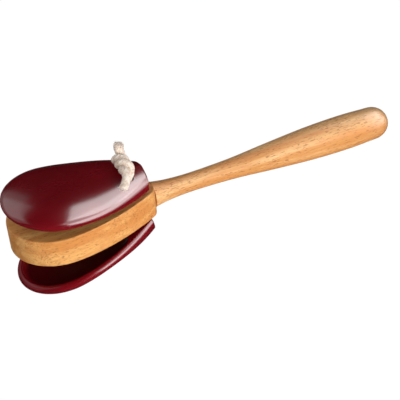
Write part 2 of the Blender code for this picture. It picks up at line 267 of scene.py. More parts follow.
def smooth_points(points, step):
    """Points about one step apart on a smooth curve through the given points."""
    ends = [2 * points[0] - points[1], *points, 2 * points[-1] - points[-2]]
    found = []
    for before, start, finish, after in zip(ends, ends[1:], ends[2:], ends[3:]):
        count = max(1, round((finish - start).length / step))
        for i in range(count):
            t = i / count
            bend = (2 * before - 5 * start + 4 * finish - after) * t**2
            bend += (3 * start - before - 3 * finish + after) * t**3
            found.append(0.5 * (2 * start + (finish - before) * t + bend))
    return found + [points[-1]]


def knot_end(hole_y, tail):
    """One end of the cord, from the paddle's middle up its hole, once round the other end, to its tail."""
    turned = math.copysign(1, -hole_y)
    middle_z = surface_height(0) - KNOT_SINK + CORD_GAP + KNOT_TWIST_RADIUS + KNOT_SQUEEZE * CORD_RADIUS
    lead_top = surface_height(LACE_HALF_SPACING)
    over = [
        Vector((0, hole_y, 0)),
        Vector((0, hole_y, lead_top / 2)),
        Vector((0, hole_y, lead_top - CORD_GAP)),
        Vector((turned * LEAD_LEAN.x, hole_y + turned * LEAD_LEAN.y, lead_top + LEAD_LEAN.z)),
    ]
    for degrees in KNOT_TURN_DEGREES:
        angle = math.radians(degrees)
        x, z = KNOT_TWIST_RADIUS * math.cos(angle), KNOT_TWIST_RADIUS * math.sin(angle)
        over.append(Vector((turned * x, turned * KNOT_PITCH * (degrees - 180) / 360, middle_z + z)))
    over += [Vector(point) * MM + Vector((0, 0, middle_z)) for point in tail]
    inside = [Vector((TOP_LACING.x, hole_y, z)) for z in (0, 0.5 * PADDLE_TOP, PADDLE_TOP)]
    return smooth_points(inside + [TOP_PLACE @ point for point in over], CORD_STEP)


def mirrored_back(points):
    """The same points on the other side of the middle, in the opposite order."""
    return [Vector((point.x, -point.y, point.z)) for point in reversed(points)]


def bridge_line():
    """The cord's loop from the paddle's middle down one hole, across under the bottom shell, and up again."""
    bend = CORD_RADIUS + CORD_GAP
    top = surface_height(0) - BOTTOM_GROOVE_DEPTH + CORD_GAP
    half = [Vector((0, -LACE_HALF_SPACING, share * top)) for share in (0, 0.35, 0.7)]
    for degrees in BRIDGE_BEND_DEGREES:
        angle = math.radians(degrees)
        y = LACE_HALF_SPACING - bend + bend * math.cos(angle)
        half.append(Vector((0, -y, top + bend * math.sin(angle))))
    across = [BOTTOM_PLACE @ point for point in half + mirrored_back(half)]
    down = [Vector((BOTTOM_LACING.x, LACE_HALF_SPACING, z)) for z in (0, 0.5 * PADDLE_BOTTOM, PADDLE_BOTTOM)]
    return smooth_points(down + across + mirrored_back(down), CORD_STEP)


def line_length(line):
    return sum((after - before).length for before, after in zip(line, line[1:]))


near_line = knot_end(-LACE_HALF_SPACING, TAIL_UP)
far_line = knot_end(LACE_HALF_SPACING, TAIL_DOWN)
below_line = bridge_line()
for name, line in (("near", near_line), ("far", far_line), ("below", below_line)):
    print(f"cord {name}: {line_length(line) / MM:.1f} mm in {len(line)} points")

# %% [markdown]
# ## Braided cotton cord
# The cord is a round braid: yarns run both ways round it and pass over and under each other. A modelled yarn
# for each carrier would be heavy, so a flat grid is rolled round the centre line instead, and each point is
# lifted by how high the braid stands there. The grid brings its own UV map, which stays with the cord.

# %% Roll a grid into a braided tube
BRAID_COLUMNS = 8
BRAID_PITCH = 1.35 * MM
BRAID_RELIEF = 0.42 * MM
BRAID_MIDDLE = 0.7
YARN_ROUNDNESS, YARN_WEAVE = 0.55, 0.45
# Cells per metre and height of the cotton's uneven places
CORD_LUMPS = ((350, 0.12 * MM), (1300, 0.14 * MM))
CORD_SIDES = 64
CORD_WELD = 0.005 * MM
CUT_END_INSET, CUT_END_BULGE = 0.6 * MM, 0.5 * MM
UPPER_TAIL_SWELL = 1.24
LOWER_TAIL_SWELL = 1.06
SWELL_LENGTH = 9 * MM
SMOOTH_ALL_OVER = 180


def finished_piece(name, bm, sharp_degrees):
    """The bmesh as an object at the origin, shaded smooth apart from edges sharper than the angle."""
    mesh = bpy.data.meshes.new(name)
    bm.to_mesh(mesh)
    bm.free()
    mesh.shade_smooth()
    mesh.set_sharp_from_angle(angle=math.radians(sharp_degrees))
    piece = bpy.data.objects.new(name, mesh)
    bpy.context.scene.collection.objects.link(piece)
    return piece


def braid_height(around, along):
    """How high the braid stands, about 0 to 1, at a share of the way round and a count of crossings along."""
    right, left = BRAID_COLUMNS * around + along, BRAID_COLUMNS * around - along
    a, b = right % 1, left % 1
    over = 1 if (math.floor(right) + math.floor(left)) % 2 == 0 else -1
    right_yarn = YARN_ROUNDNESS * (1 - (2 * a - 1) ** 2) + YARN_WEAVE * over * math.sin(math.pi * b)
    left_yarn = YARN_ROUNDNESS * (1 - (2 * b - 1) ** 2) - YARN_WEAVE * over * math.sin(math.pi * a)
    return max(right_yarn, left_yarn)


def cross_frames(line):
    """Two directions across the line at each point, carried along it without twisting."""
    side = (line[1] - line[0]).orthogonal().normalized()
    frames = []
    for i in range(len(line)):
        ahead = (line[min(i + 1, len(line) - 1)] - line[max(i - 1, 0)]).normalized()
        side = (side - ahead * side.dot(ahead)).normalized()
        frames.append((side, ahead.cross(side)))
    return frames


def swell(left, at_tip):
    """How much thicker the loosened end of the braid is, with that much cord left to its tip."""
    return mix(1, at_tip, smooth_step(max(0.0, 1 - left / SWELL_LENGTH)))


def braided_cord(name, line, tip_swell):
    bm = bmesh.new()
    bm.loops.layers.uv.new("braid")
    rows = len(line) - 1
    bmesh.ops.create_grid(bm, x_segments=CORD_SIDES, y_segments=rows, size=0.5, calc_uvs=True)
    frames, length = cross_frames(line), line_length(line)
    for vert in bm.verts:
        around, share = vert.co.x + 0.5, vert.co.y + 0.5
        row = round(share * rows)
        side, over = frames[row]
        angle = 2 * math.pi * around
        outward = side * math.cos(angle) + over * math.sin(angle)
        radius = CORD_RADIUS * swell(length * (1 - share), tip_swell)
        surface = line[row] + outward * radius
        lumps = sum(noise.noise(surface * cells) * height for cells, height in CORD_LUMPS)
        lift = BRAID_RELIEF * (braid_height(around, share * length / BRAID_PITCH) - BRAID_MIDDLE)
        vert.co = line[row] + outward * (radius + lift + lumps)
    bmesh.ops.remove_doubles(bm, verts=bm.verts, dist=CORD_WELD)
    rims = [edge for edge in bm.edges if edge.is_boundary]
    caps = bmesh.ops.edgeloop_fill(bm, edges=rims)["faces"]
    bmesh.ops.inset_region(bm, faces=caps, thickness=CUT_END_INSET, depth=CUT_END_BULGE)
    bmesh.ops.poke(bm, faces=caps)
    bmesh.ops.recalc_face_normals(bm, faces=bm.faces)
    return finished_piece(name, bm, SMOOTH_ALL_OVER)


cord_near = braided_cord("cord_near", near_line, UPPER_TAIL_SWELL)
cord_far = braided_cord("cord_far", far_line, LOWER_TAIL_SWELL)
cord_below = braided_cord("cord_below", below_line, 1)
for piece in (cord_near, cord_far, cord_below):
    print(piece.name, len(piece.data.polygons), "faces")

# %% [markdown]
# ## Frayed ends
# The cord is simply cut off, so its two tails end in a tuft of loose cotton. Each fibre is a thin tapered
# tube: a small triangle of points extruded along a short curve that leaves the cut end and bends outwards.
# A fixed seed gives the same tuft at every run.

# %% Grow the fibres of a tuft
FIBRES_IN_TUFT = 170
FIBRE_SIDES = 3
FIBRE_STEPS = 4
FIBRE_RADIUS = 0.11 * MM
FIBRE_RADIUS_SHARES = (0.7, 1.3)
FIBRE_LENGTHS_MM = (0.9, 1.8)
FIBRE_ROOT_DEPTH_MM = 0.9
FIBRE_TAPER = 0.86
FIBRE_SPREAD, FIBRE_CURL, FIBRE_STRAY = 0.5, 0.2, 0.22
TUFT_FILL = 0.95
UPPER_TUFT_SEED, LOWER_TUFT_SEED = 11, 12


def add_fibre(bm, root, heading, bend, length, radius):
    ring = bmesh.ops.create_circle(bm, cap_ends=True, segments=FIBRE_SIDES, radius=radius)["verts"]
    turned = heading.to_track_quat("Z", "Y").to_matrix().to_4x4()
    bmesh.ops.transform(bm, verts=ring, matrix=Matrix.Translation(root) @ turned)
    face = ring[0].link_faces[0]
    for _ in range(FIBRE_STEPS):
        heading = (heading + bend).normalized()
        grown = bmesh.ops.extrude_discrete_faces(bm, faces=[face])["faces"]
        face = grown[0]
        bmesh.ops.translate(bm, verts=face.verts, vec=heading * (length / FIBRE_STEPS))
        middle = face.calc_center_median()
        thinner = Matrix.Translation(middle) @ Matrix.Scale(FIBRE_TAPER, 4) @ Matrix.Translation(-middle)
        bmesh.ops.transform(bm, verts=face.verts, matrix=thinner)


def tuft(name, line, tip_swell, seed):
    draw = random.Random(seed)
    side, over = cross_frames(line)[-1]
    ahead = (line[-1] - line[-4]).normalized()
    bm = bmesh.new()
    for _ in range(FIBRES_IN_TUFT):
        angle, out = draw.uniform(0, 2 * math.pi), math.sqrt(draw.random())
        outward = side * math.cos(angle) + over * math.sin(angle)
        root = line[-1] + outward * out * CORD_RADIUS * tip_swell * TUFT_FILL
        root -= ahead * FIBRE_ROOT_DEPTH_MM * MM
        heading = (ahead + outward * out * draw.uniform(0.0, FIBRE_SPREAD)).normalized()
        stray = Vector([draw.uniform(-1, 1) for _ in range(3)]) * FIBRE_STRAY
        bend = outward * out * draw.uniform(0, FIBRE_CURL) + stray
        length = draw.uniform(*FIBRE_LENGTHS_MM) * MM
        add_fibre(bm, root, heading, bend, length, FIBRE_RADIUS * draw.uniform(*FIBRE_RADIUS_SHARES))
    return finished_piece(name, bm, SMOOTH_ALL_OVER)


tuft_near = tuft("tuft_near", near_line, UPPER_TAIL_SWELL, UPPER_TUFT_SEED)
tuft_far = tuft("tuft_far", far_line, LOWER_TAIL_SWELL, LOWER_TUFT_SEED)
print("fibres in each tuft:", FIBRES_IN_TUFT)

# %% [markdown]
# ## The cord in place
# In the real castanet the cord stands still in the paddle, and above it the knot rocks with the top shell.
# The three lengths are one cord, split in the paddle's middle, because a blend crosses one joint only. Each
# is baked in place, its length is measured, and the solid model's cord parts are hidden.

for piece, tail, line, side in (
    (cord_near, tuft_near, near_line, "near"),
    (cord_far, tuft_far, far_line, "far"),
):
    for soft in (piece, tail):
        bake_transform(soft)
    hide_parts(f"cord_{side}_end", f"cord_core_{side}")
    line_length(line)
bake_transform(cord_below)
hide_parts("cord_bridge")
line_length(below_line)
print("cord in all:", round(sum(map(line_length, (near_line, far_line, below_line))) / MM), "mm")

# %% [markdown]
# ## Drilling
# The paddle and the shells have round holes for the cord. A drill is a cylinder, and a Boolean modifier takes
# it away from the wood. The result is kept as the piece's own mesh at once, so that no helper is left behind.

# %% Drill with a Boolean
LACE_HOLE_RADIUS = 2.7 * MM
HOLE_SIDES = 48
DRILL_RUN_OUT = 5 * MM
SHARP_DEGREES = 40
SANDED_SHARP_DEGREES = 50


def drill_bit(radius, start, end, place=Matrix()):
    """A cylinder from start to end, for one hole."""
    start, end = place @ Vector(start), place @ Vector(end)
    matrix = (end - start).to_track_quat("Z", "Y").to_matrix().to_4x4()
    matrix.translation = (start + end) / 2
    bm = bmesh.new()
    bmesh.ops.create_cone(
        bm,
        cap_ends=True,
        segments=HOLE_SIDES,
        radius1=radius,
        radius2=radius,
        depth=(end - start).length,
        matrix=matrix,
    )
    return finished_piece("drill bit", bm, SHARP_DEGREES)


def drilled(piece, bits):
    """Takes the bits out of the piece, shades it by its edges and removes the bits."""
    for bit in bits:
        hole = piece.modifiers.new("hole", "BOOLEAN")
        hole.operation = "DIFFERENCE"
        hole.object = bit
    graph = bpy.context.evaluated_depsgraph_get()
    mesh = bpy.data.meshes.new_from_object(piece.evaluated_get(graph))
    piece.modifiers.clear()
    piece.data = mesh
    mesh.shade_smooth()
    mesh.set_sharp_from_angle(angle=math.radians(SANDED_SHARP_DEGREES))
    for bit in bits:
        bpy.data.objects.remove(bit)
    weighted = piece.modifiers.new("even shading", "WEIGHTED_NORMAL")
    weighted.keep_sharp = True
    return piece


print(f"cord holes: {2 * LACE_HOLE_RADIUS / MM:.1f} mm across")

# %% [markdown]
# ## Paddle
# The paddle is a flat board, sawn to the egg outline and sanded round at its edges. Its outline is filled as
# one face and extruded to the board's thickness. The two upright corners at the heel get a larger radius than
# the edges, so they are bevelled first.

# %% Saw the paddle
HEEL_CORNER_RADIUS, HEEL_CORNER_STEPS = 3.5 * MM, 10
BOARD_EDGE_RADIUS = 0.7 * MM
EDGE_STEPS = 4
TENON_RADIUS = 3.5 * MM
TENON_LENGTH = 18 * MM
FIT = 0.3 * MM
PADDLE_DRILL_REACH = 20 * MM


def round_edges(bm, edges, radius, steps):
    bmesh.ops.bevel(bm, geom=edges, offset=radius, affect="EDGES", segments=steps, profile=0.5, material=-1)


def edges_sharper_than(bm, degrees):
    return [edge for edge in bm.edges if edge.calc_face_angle(0) > math.radians(degrees)]


def sawn_paddle():
    bm = bmesh.new()
    outline = egg_outline(PADDLE_EGG, HEAD_LENGTH)
    corner_room = HEAD_LENGTH - 1.5 * HEEL_CORNER_RADIUS
    sawn = [(x, y) for x, y in outline if x < corner_room or x == HEAD_LENGTH]
    board = bm.faces.new([bm.verts.new((FRONT_X + x, y, PADDLE_BOTTOM)) for x, y in sawn])
    raised = bmesh.ops.extrude_face_region(bm, geom=[board])["geom"]
    upper = [part for part in raised if isinstance(part, bmesh.types.BMVert)]
    bmesh.ops.translate(bm, verts=upper, vec=(0, 0, PADDLE_TOP - PADDLE_BOTTOM))
    uprights = [edge for edge in bm.edges if abs(edge.verts[0].co.z - edge.verts[1].co.z) > FIT]
    corners = [edge for edge in uprights if edge.verts[0].co.x > SHOULDER_X - FIT]
    round_edges(bm, corners, HEEL_CORNER_RADIUS, HEEL_CORNER_STEPS)
    bmesh.ops.recalc_face_normals(bm, faces=bm.faces)
    round_edges(bm, edges_sharper_than(bm, SANDED_SHARP_DEGREES), BOARD_EDGE_RADIUS, EDGE_STEPS)
    return finished_piece("paddle_board", bm, SANDED_SHARP_DEGREES)


paddle_board = sawn_paddle()
socket_end = SHOULDER_X - TENON_LENGTH - 2 * FIT
bits = [drill_bit(TENON_RADIUS + FIT, (socket_end, 0, 0), (SHOULDER_X + DRILL_RUN_OUT, 0, 0))]
for y in LACE_SIDES:
    ends = ((TOP_LACING.x, y, z) for z in (-PADDLE_DRILL_REACH, PADDLE_DRILL_REACH))
    bits.append(drill_bit(LACE_HOLE_RADIUS, *ends))
drilled(paddle_board, bits)
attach(paddle_board, "handle_and_paddle")
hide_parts("paddle")
print("paddle_board:", len(paddle_board.data.polygons), "faces")

# %% [markdown]
# ## Handle
# The handle is turned on a lathe, so it is modelled the same way: half of its outline is drawn once and spun
# round the axis. A tenon at the foot sits in the paddle, the neck is slim, and the grip swells to a round
# end.

# %% Turn the handle
# Distance from the shoulder and radius, in millimetres
HANDLE_TURNING = [
    (0, 6.9),
    (3, 6.35),
    (10, 5.45),
    (23, 4.95),
    (46, 5.6),
    (70, 7.5),
    (94, 9.1),
    (115, 9.55),
    (132, 9.0),
]
TURNING_STEP = 1.5 * MM
HANDLE_SIDES = 96
HANDLE_WELD = 0.01 * MM
CONTACT = 0.05 * MM
ROUND_END_STEPS = 18
ROUND_END_POWER = 0.9


def turned_profile():
    """(distance from the shoulder, radius) from the tenon's end to the round end's tip."""
    length = HANDLE_END_X - SHOULDER_X
    turning = smooth_points([Vector((x, radius, 0)) * MM for x, radius in HANDLE_TURNING], TURNING_STEP)
    round_start, round_radius = turning[-1].x, turning[-1].y
    profile = [(-TENON_LENGTH, 0), (-TENON_LENGTH, TENON_RADIUS - FIT), (-TENON_LENGTH + FIT, TENON_RADIUS)]
    profile += [(CONTACT, TENON_RADIUS), (CONTACT, turning[0].y - FIT), (FIT, turning[0].y)]
    profile += [(point.x, point.y) for point in turning[1:]]
    for i in range(1, ROUND_END_STEPS):
        angle = math.pi / 2 * i / ROUND_END_STEPS
        x = round_start + (length - round_start) * math.sin(angle)
        profile.append((x, round_radius * math.cos(angle) ** ROUND_END_POWER))
    return profile + [(length, 0)]


def turned_handle():
    bm = bmesh.new()
    line = [bm.verts.new((SHOULDER_X + x, 0, radius)) for x, radius in turned_profile()]
    edges = [bm.edges.new(pair) for pair in zip(line, line[1:])]
    bmesh.ops.spin(
        bm,
        geom=line + edges,
        cent=(0, 0, 0),
        axis=(1, 0, 0),
        angle=2 * math.pi,
        steps=HANDLE_SIDES,
        use_merge=True,
    )
    bmesh.ops.remove_doubles(bm, verts=bm.verts, dist=HANDLE_WELD)
    bmesh.ops.recalc_face_normals(bm, faces=bm.faces)
    return finished_piece("turned_handle", bm, SHARP_DEGREES)


handle_piece = turned_handle()
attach(handle_piece, "handle_and_paddle")
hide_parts("handle")
print("turned_handle:", len(handle_piece.data.polygons), "faces")

# %% [markdown]
# ## Rings of a shell
# Each shell is half an egg, hollowed so that it rings. A sphere pushed into shape would bunch its faces at
# the ends, so rings of the egg are lofted instead: from the bowl's bottom, out over the rim, and up the dome
# to the crown. The gloss then runs over an even mesh.

# %% Rings of bowl and dome
RIM_TUCK = 2.2 * MM
BOWL_RIM = 2.8 * MM
BOWL_DEPTH = 6.4 * MM
BOWL_POWER = 2.2
BOWL_END_BEFORE_LACE = 4.0 * MM
BOWL_ROUND_BEFORE_LACE = 11 * MM
BOWL_END_ROUNDING = 0.6
LIP_STEPS = 8
DOME_STEPS = 26
BOWL_STEPS = 14


def dome_ring(share, height_of, inset=0.0):
    """One ring of the egg, drawn towards the crown by share."""
    ring = []
    for along, sideways in egg_outline(SHELL_EGG, shell_reach() - FIT)[:-1]:
        away = Vector((along - SHELL_BEFORE_LACE + CROWN_BEFORE_LACE, sideways))
        away *= share * (1 - inset / away.length)
        x = away.x - CROWN_BEFORE_LACE
        ring.append((x, away.y, height_of(x)))
    return ring


def bowl_rings():
    """Rings of the hollow from its bottom to its mouth: it follows the rim and is round at the heel."""
    length, width, *shape = SHELL_EGG
    bowl_egg = (length - BOWL_RIM, width - 2 * BOWL_RIM, *shape)
    bowl_length = SHELL_BEFORE_LACE - BOWL_RIM
    round_length = BOWL_ROUND_BEFORE_LACE - BOWL_END_BEFORE_LACE
    mouth = []
    for along, sideways in egg_outline(bowl_egg, bowl_length - BOWL_END_BEFORE_LACE)[:-1]:
        x = along - bowl_length
        past = max(0.0, x + BOWL_ROUND_BEFORE_LACE) / round_length
        mouth.append((x, sideways * math.sqrt(1 - BOWL_END_ROUNDING * past**2)))
    rings = []
    for i in reversed(range(BOWL_STEPS)):
        angle = math.pi / 2 * i / BOWL_STEPS
        share, depth = (turn ** (2 / BOWL_POWER) for turn in (math.cos(angle), math.sin(angle)))
        rings.append([(mix(-CROWN_BEFORE_LACE, x, share), y * share, BOWL_DEPTH * depth) for x, y in mouth])
    return rings


def dome_rings():
    """Rings of the outside: round the lip from the rim to the belly, then up the dome to the crown."""
    rings = []
    for i in range(LIP_STEPS):
        angle = math.pi / 2 * i / LIP_STEPS
        height = BELLY_HEIGHT * (1 - math.cos(angle))
        rings.append(dome_ring(1, lambda x, height=height: height, RIM_TUCK * (1 - math.sin(angle))))
    for i in range(DOME_STEPS):
        share = math.cos(math.pi / 2 * i / DOME_STEPS) ** (2 / DOME_POWER)
        rings.append(dome_ring(share, lambda x, share=share: dome_height(x, share)))
    return rings


print("rings:", len(bowl_rings()), "in the bowl and", len(dome_rings()), "over the dome")

# %% [markdown]
# ## Shells
# A maker shapes the dome, saws the heel off square and drills the holes. The mesh takes the same steps: the
# rings are bridged, a plane cuts off the heel and the cut is filled, the edges are rounded, and two holes and
# a groove for the cord are drilled. Both shells are the same piece, set in two places.

# %% Carve both shells
HEEL_BEHIND_LACE = 10.3 * MM
HEEL_EDGE_RADIUS = 0.8 * MM
MOUTH_EDGE_RADIUS = 0.3 * MM
CARVED_SHARP_DEGREES = 45
LACE_GROOVE_RADIUS = 3.2 * MM


def loft(rings):
    """A closed bmesh through rings of points: each ring is bridged to the next, and both ends are filled."""
    bm = bmesh.new()
    loops = []
    for ring in rings:
        corners = [bm.verts.new(point) for point in ring]
        loops.append([bm.edges.new((corners[i - 1], corners[i])) for i in range(len(corners))])
    for lower, upper in zip(loops, loops[1:]):
        bmesh.ops.bridge_loops(bm, edges=lower + upper)
    for end in (loops[0], loops[-1]):
        bmesh.ops.edgeloop_fill(bm, edges=end)
    return bm


def carved_shell(name, place, groove_depth):
    bm = loft(bowl_rings() + dome_rings())
    cut = bmesh.ops.bisect_plane(
        bm,
        geom=bm.verts[:] + bm.edges[:] + bm.faces[:],
        plane_co=(HEEL_BEHIND_LACE, 0, 0),
        plane_no=(1, 0, 0),
        clear_outer=True,
    )["geom_cut"]
    bmesh.ops.holes_fill(bm, edges=[part for part in cut if isinstance(part, bmesh.types.BMEdge)])
    bmesh.ops.recalc_face_normals(bm, faces=bm.faces)
    sharp = edges_sharper_than(bm, CARVED_SHARP_DEGREES)
    at_heel = [edge for edge in sharp if max(vert.co.x for vert in edge.verts) > HEEL_BEHIND_LACE - FIT]
    at_mouth = [edge for edge in sharp if edge not in at_heel]
    round_edges(bm, at_mouth, MOUTH_EDGE_RADIUS, EDGE_STEPS)
    round_edges(bm, at_heel, HEEL_EDGE_RADIUS, EDGE_STEPS)
    bmesh.ops.transform(bm, verts=bm.verts, matrix=place)
    bmesh.ops.recalc_face_normals(bm, faces=bm.faces)
    piece = finished_piece(name, bm, SANDED_SHARP_DEGREES)
    bits = []
    for y in LACE_SIDES:
        bits.append(drill_bit(LACE_HOLE_RADIUS, (0, y, -DRILL_RUN_OUT), (0, y, 2 * CROWN_HEIGHT), place))
    groove_z = surface_height(0) - groove_depth + LACE_GROOVE_RADIUS
    bits.append(drill_bit(LACE_GROOVE_RADIUS, *((0, y, groove_z) for y in LACE_SIDES), place))
    return drilled(piece, bits)


top_dome = carved_shell("top_dome", TOP_PLACE, TOP_GROOVE_DEPTH)
bottom_dome = carved_shell("bottom_dome", BOTTOM_PLACE, BOTTOM_GROOVE_DEPTH)
for piece, body, node in (
    (top_dome, "top_clapper", "top_shell"),
    (bottom_dome, "bottom_clapper", "bottom_shell"),
):
    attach(piece, body)
    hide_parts(node)
    print(piece.name, len(piece.data.polygons), "faces")

# %% [markdown]
# ## A short way to write shader maths
# A finish is a tree of nodes. Wiring each Math node by hand hides the sum behind it, so a small class wraps
# a socket and lets sums be written as plain expressions. Every other node comes from one method, which sets
# the node's own settings first and then fills or links its sockets.

# %% Wrap sockets
class Value:
    """One number that changes over a surface: the output socket of a node."""

    def __init__(self, nodes, socket):
        self.nodes = nodes
        self.socket = socket

    def sum(self, operation, first, second):
        return self.nodes.add("ShaderNodeMath", {"operation": operation}, {0: first, 1: second})

    def __add__(self, other):
        return self.sum("ADD", self, other)

    def __radd__(self, other):
        return self.sum("ADD", other, self)

    def __sub__(self, other):
        return self.sum("SUBTRACT", self, other)

    def __rsub__(self, other):
        return self.sum("SUBTRACT", other, self)

    def __mul__(self, other):
        return self.sum("MULTIPLY", self, other)

    def __rmul__(self, other):
        return self.sum("MULTIPLY", other, self)


class Nodes:
    """A node tree that is filled from Python."""

    def __init__(self, tree):
        self.tree = tree

    def add(self, kind, settings=None, sockets=None, output=0):
        node = self.tree.nodes.new(kind)
        for name, setting in (settings or {}).items():
            setattr(node, name, setting)
        self.fill(node, sockets or {})
        return Value(self, node.outputs[output])

    def fill(self, node, sockets):
        """Links or sets the node's sockets, given by name or by number."""
        for name, value in sockets.items():
            if isinstance(value, Value):
                self.tree.links.new(value.socket, node.inputs[name])
            else:
                node.inputs[name].default_value = value

    def ramp(self, value, low, high):
        """0 below low, 1 above high, and a smooth step between them."""
        sockets = {"Value": value, "From Min": low, "From Max": high}
        return self.add("ShaderNodeMapRange", {"interpolation_type": "SMOOTHSTEP"}, sockets)

    def blend(self, share, first, second):
        """From the first colour to the second by share."""
        sockets = {0: share, 6: first, 7: second}
        return self.add("ShaderNodeMix", {"data_type": "RGBA"}, sockets, output=2)

    def dot(self, first, second):
        """The dot product of two vectors."""
        return self.add("ShaderNodeVectorMath", {"operation": "DOT_PRODUCT"}, {0: first, 1: second}, "Value")

    def streaks(self, scale, detail=2.0, roughness=0.5, offset=(0, 0, 0)):
        """Noise on the piece's own coordinates, with a scale for each axis in cells per metre."""
        place = self.add("ShaderNodeTexCoord", output="Object")
        stretched = self.add("ShaderNodeMapping", {}, {"Vector": place, "Scale": scale, "Location": offset})
        sockets = {"Vector": stretched, "Scale": 1.0, "Detail": detail, "Roughness": roughness}
        return self.add("ShaderNodeTexNoise", {}, sockets)

    def bump(self, height, strength, depth):
        """A normal for fine relief: a height of 1 stands up by the depth."""
        return self.add("ShaderNodeBump", {}, {"Strength": strength, "Distance": depth, "Height": height})


def new_finish(name):
    material = bpy.data.materials.new(name)
    material.use_nodes = True
    return material, Nodes(material.node_tree), material.node_tree.nodes["Principled BSDF"]


def tone(red, green, blue):
    """A colour given as the eye sees it, 0 to 255, as the linear values that a shader takes."""
    shares = [value / 255 for value in (red, green, blue)]
    linear = [v / 12.92 if v <= 0.04045 else ((v + 0.055) / 1.055) ** 2.4 for v in shares]
    return (*linear, 1.0)


print("a grey of 128 is", round(tone(128, 128, 128)[0], 3), "to a shader")

# %% [markdown]
# ## Natural wood
# Paddle and handle are a pale hardwood under a satin varnish. Its grain runs along the handle: broad warm
# bands, fine fibres, and many short dark pores. Noise that is squeezed across the grain gives all three, read
# from the piece's own coordinates, so that the grain runs through the wood and shows end grain on the front.
# The paddle is a warmer board than the handle, and the hand has polished the handle's round end.

# %% Natural wood finish
# The deep and the pale tone of each board's bands
PADDLE_TONES = tone(215, 143, 71), tone(241, 185, 111)
HANDLE_TONES = tone(213, 150, 84), tone(239, 194, 135)
FIBRE_TONE, FLAME_TONE, PORE_TONE = tone(198, 118, 58), tone(210, 134, 72), tone(158, 91, 45)
# A shift of the noise for each board, so that no grain repeats
PADDLE_CUT, HANDLE_CUT = (0.3, 0.1, 0.2), (7.1, 3.4, 5.2)
POLISH_START_X, POLISH_FULL_X = HANDLE_END_X - 22 * MM, HANDLE_END_X - 3 * MM
PLAIN_VARNISH = 0.06


def natural_wood(name, cut, deep, pale):
    material, nodes, shader = new_finish(name)
    bands = nodes.streaks((9, 150, 190), detail=3.0, offset=cut)
    fibres = nodes.streaks((70, 1500, 1500), offset=cut)
    flames = nodes.streaks((26, 430, 430), offset=cut)
    pores = nodes.streaks((400, 1900, 1900), detail=1.0, roughness=0.4, offset=cut)
    patches = nodes.streaks((40, 120, 120), detail=1.0, offset=cut)
    pore_mask = nodes.ramp(pores + (patches - 0.5) * 0.3, 0.58, 0.70)
    colour = nodes.blend(nodes.ramp(bands, 0.36, 0.66), deep, pale)
    colour = nodes.blend(nodes.ramp(fibres, 0.3, 0.75) * 0.45, colour, FIBRE_TONE)
    colour = nodes.blend(nodes.ramp(flames, 0.42, 0.68) * 0.4, colour, FLAME_TONE)
    colour = nodes.blend(pore_mask * 0.65, colour, PORE_TONE)
    spot = nodes.add("ShaderNodeTexCoord", output="Object")
    along = nodes.add("ShaderNodeSeparateXYZ", {}, {"Vector": spot}, output="X")
    polish = nodes.ramp(along, POLISH_START_X, POLISH_FULL_X)
    finish = {
        "Base Color": colour,
        "Roughness": 0.42 + (fibres - 0.5) * 0.16 + pore_mask * 0.15,
        "Specular IOR Level": 0.25,
        "Coat Weight": PLAIN_VARNISH + polish * (1 - PLAIN_VARNISH),
        "Coat IOR": 1.9,
        "Coat Roughness": 0.34,
        "Normal": nodes.bump(fibres * 0.4 - pore_mask, strength=0.35, depth=0.15 * MM),
    }
    nodes.fill(shader, finish)
    return material


for piece, name, cut, tones in (
    (paddle_board, "natural_wood_paddle", PADDLE_CUT, PADDLE_TONES),
    (handle_piece, "natural_wood_handle", HANDLE_CUT, HANDLE_TONES),
):
    piece.data.materials.clear()
    piece.data.materials.append(natural_wood(name, cut, *tones))
print("natural wood on", paddle_board.name, "and", handle_piece.name)

# %% [markdown]
# ## Dark red lacquer
# The shells are sprayed with a deep red lacquer. The colour coat is slightly soft, and a clear coat over it
# gives the bright, blurred reflections of the lamps. The wood's grain shows faintly through as a fine ripple,
# and the colour is a little thinner in patches. The hollow's colour is darkened as painted shade, and the
# hollow has hardly any clear coat; on the rim the clapping has worn the coat thin. The height over the rim
# and the side that the surface faces tell them from the dome.

# %% Dark red lacquer finish
LACQUER_TONE, THIN_LACQUER_TONE = tone(114, 1, 14), tone(128, 3, 20)
# The hollow's tone is painted shade: a darker red for the inside of the bowl, which lies in shade
LACQUER_GRAIN_TONE, HOLLOW_PAINTED_SHADE_TONE = tone(84, 1, 8), tone(46, 1, 6)
HOLLOW_FROM, HOLLOW_FULL = 1.5 * MM, 3.0 * MM
# The hollow's share darkens its colour as painted shade and also thins its clear coat
HOLLOW_SHADE_AND_MATT_SHARE, WORN_SHARE = 0.8, 0.7


